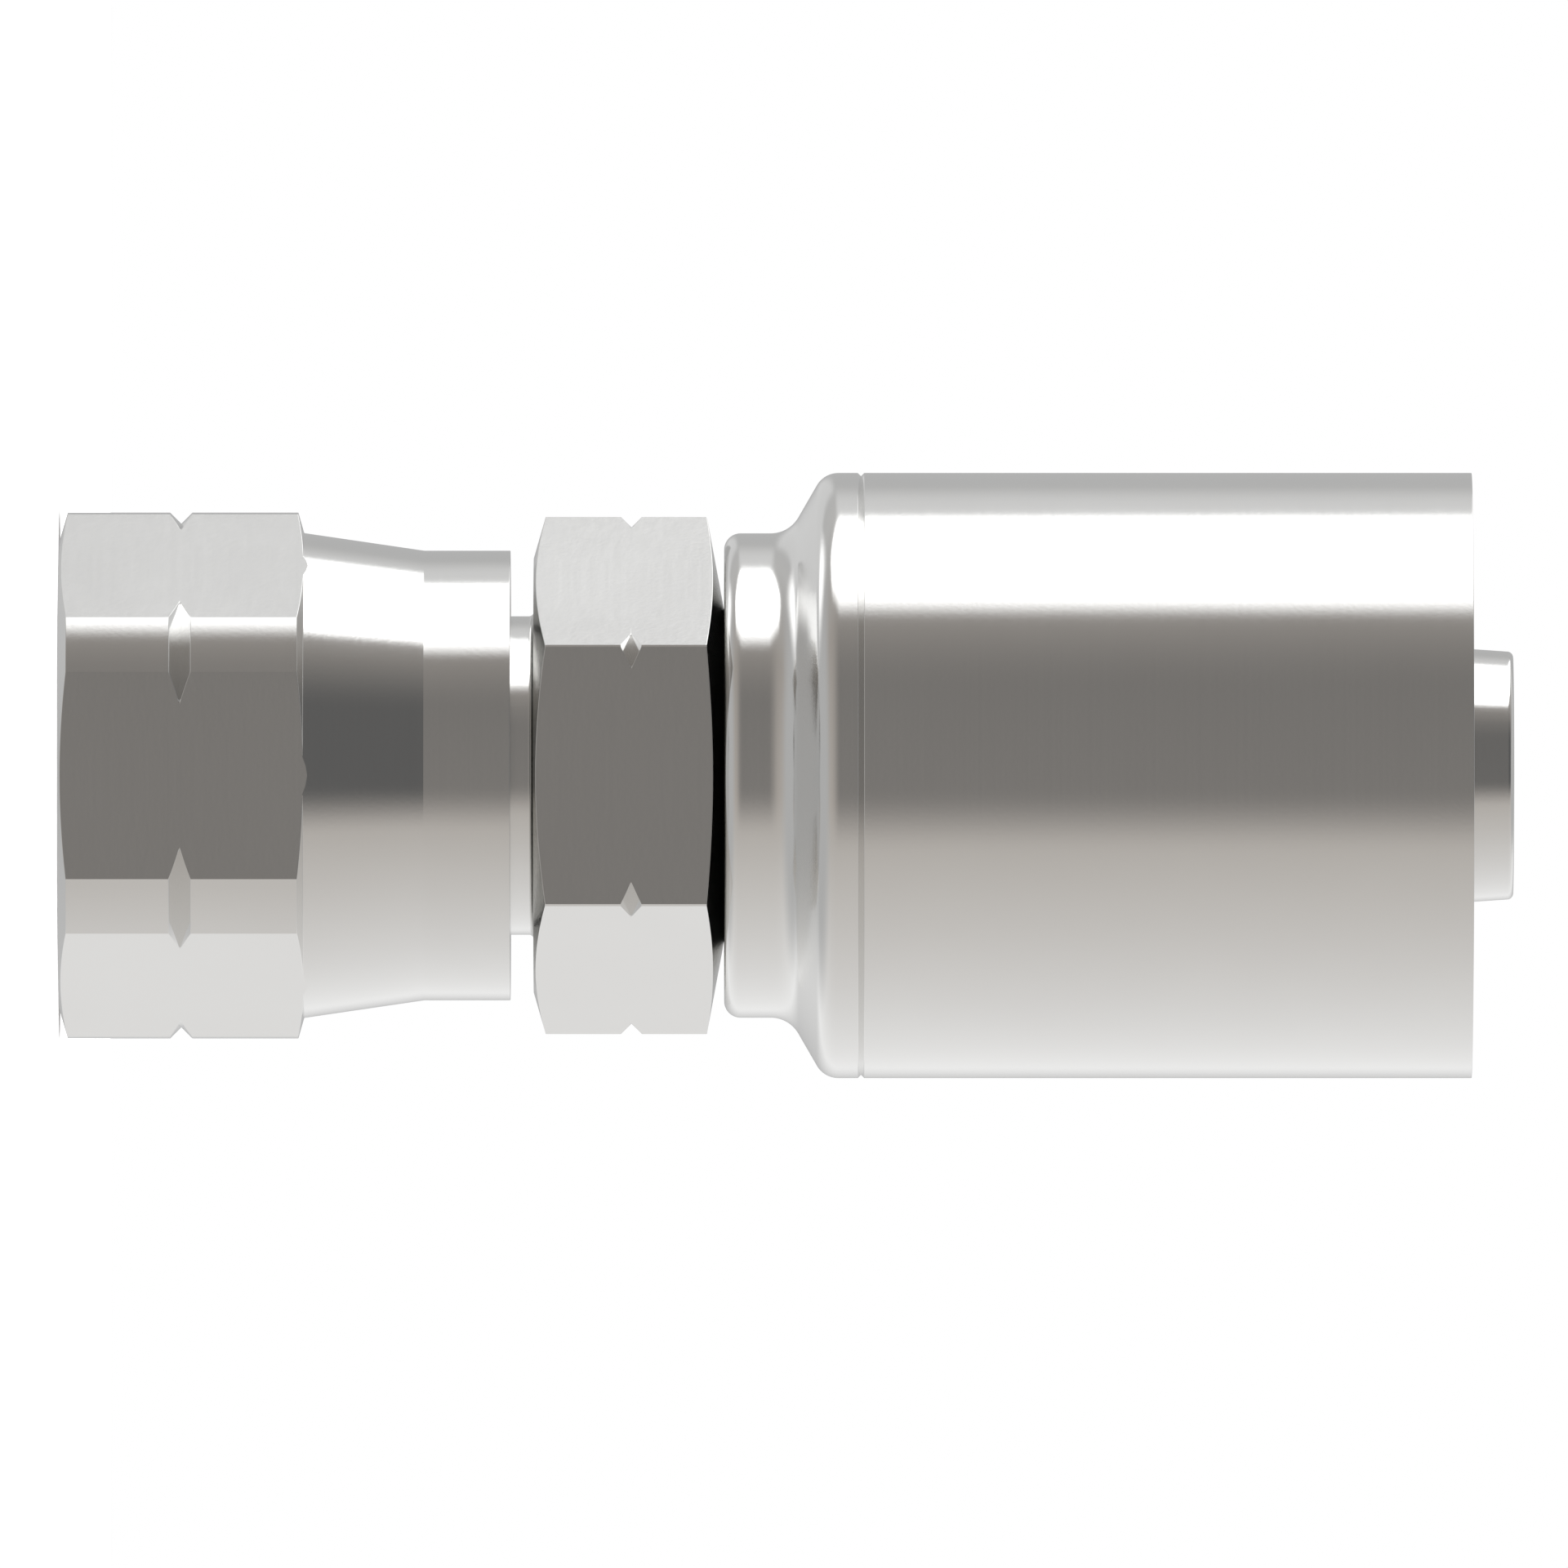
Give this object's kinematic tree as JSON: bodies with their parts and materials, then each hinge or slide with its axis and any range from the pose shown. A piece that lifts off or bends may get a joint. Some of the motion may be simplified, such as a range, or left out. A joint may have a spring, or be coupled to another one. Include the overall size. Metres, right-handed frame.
{
  "type": "crimp hose fitting",
  "caption": "Straight crimp hose fitting: a swivelling hex nut with an internal thread and flare seat, a hex body, and a crimp shell round a barbed nipple.",
  "frame": {"origin": "centre of the swivel nut's open face, which the fitting stands on", "axes": "+Z along the fitting's axis from the nut to the hose end; +X through a corner of both hexes, +Y square to a flat of both hexes"},
  "size_m": [0.0278, 0.0278, 0.0668],
  "materials": {
    "nut_plating": "bright zinc-nickel plating, smooth turned and drawn surfaces",
    "stem_plating": "bright zinc-nickel plating, smooth turned surfaces",
    "crimp_plating": "bright zinc-nickel plating, smooth drawn surface"
  },
  "bodies": {
    "fitting": {"hose_stem": "stem_plating", "crimp_shell": "crimp_plating"},
    "nut": {"swivel_nut": "nut_plating"}
  },
  "joints": [
    {"name": "nut_swivel", "type": "hinge", "parent": "fitting", "child": "nut", "pos_m": [0, 0, 0.0187], "axis": [0, 0, 1], "continuous": true}
  ]
}
